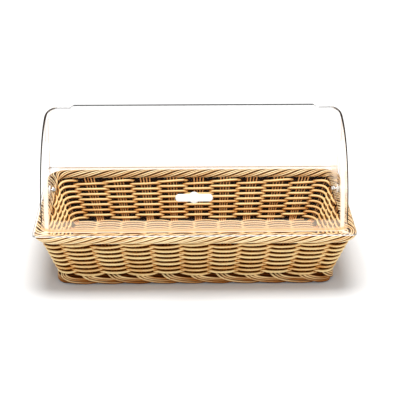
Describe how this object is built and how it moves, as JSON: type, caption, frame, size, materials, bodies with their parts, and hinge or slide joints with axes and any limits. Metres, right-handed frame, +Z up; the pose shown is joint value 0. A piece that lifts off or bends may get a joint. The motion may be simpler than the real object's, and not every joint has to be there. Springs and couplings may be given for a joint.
{
  "type": "countertop bread display bin",
  "caption": "Rectangular woven basket with splayed sides under a clear half-round roll-top cover whose front shell swings up and back on end pivots.",
  "frame": {"origin": "on the worktop, under the middle of the basket's foot", "axes": "+X along the length, -Y towards the customer, where the handle is, +Z up"},
  "size_m": [0.53, 0.3252, 0.276],
  "materials": {
    "rattan": "woven golden poly rattan, half matt",
    "acrylic": "clear, polished",
    "white_plastic": "moulded, satin",
    "steel": "bright zinc-plated",
    "washer_rubber": "pale, matt"
  },
  "bodies": {
    "basket": {"base_mat": "rattan", "foot_border": "rattan", "rim_border": "rattan", "cross_stake_1": "rattan", "cross_stake_2": "rattan", "cross_stake_3": "rattan", "cross_stake_4": "rattan", "cross_stake_5": "rattan", "cross_stake_6": "rattan", "cross_stake_7": "rattan", "cross_stake_8": "rattan", "cross_stake_9": "rattan", "end_stake_left_1": "rattan", "end_stake_left_2": "rattan", "end_stake_left_3": "rattan", "end_stake_left_4": "rattan", "end_stake_left_5": "rattan", "end_stake_right_1": "rattan", "end_stake_right_2": "rattan", "end_stake_right_3": "rattan", "end_stake_right_4": "rattan", "end_stake_right_5": "rattan", "corner_stake_front_left": "rattan", "corner_stake_front_right": "rattan", "corner_stake_back_right": "rattan", "corner_stake_back_left": "rattan", "weaver_01": "rattan", "weaver_02": "rattan", "weaver_03": "rattan", "weaver_04": "rattan", "weaver_05": "rattan", "weaver_06": "rattan", "weaver_07": "rattan", "weaver_08": "rattan", "weaver_09": "rattan", "weaver_10": "rattan", "weaver_11": "rattan", "weaver_12": "rattan", "weaver_13": "rattan", "weaver_14": "rattan", "weaver_15": "rattan"},
    "rear_cover": {"rear_shell": "acrylic", "pivot_cap_left": "white_plastic", "pivot_cap_right": "white_plastic", "pivot_bush_left": "white_plastic", "pivot_bush_right": "white_plastic", "pivot_screw_left": "steel", "pivot_screw_right": "steel", "pivot_washer_left": "steel", "pivot_washer_right": "steel", "pivot_nut_left": "steel", "pivot_nut_right": "steel"},
    "front_cover": {"front_shell": "acrylic", "handle": "white_plastic", "handle_insert": "steel", "handle_washer": "washer_rubber", "handle_screw": "steel"}
  },
  "joints": [
    {"name": "cover_lift", "type": "slide", "parent": "basket", "child": "rear_cover", "axis": [0, 0, 1], "range_m": [0, 0.2]},
    {"name": "front_hinge", "type": "hinge", "parent": "rear_cover", "child": "front_cover", "pos_m": [-0.002, 0, 0.1198], "axis": [-1, 0, 0], "range_deg": [0, 95]}
  ]
}
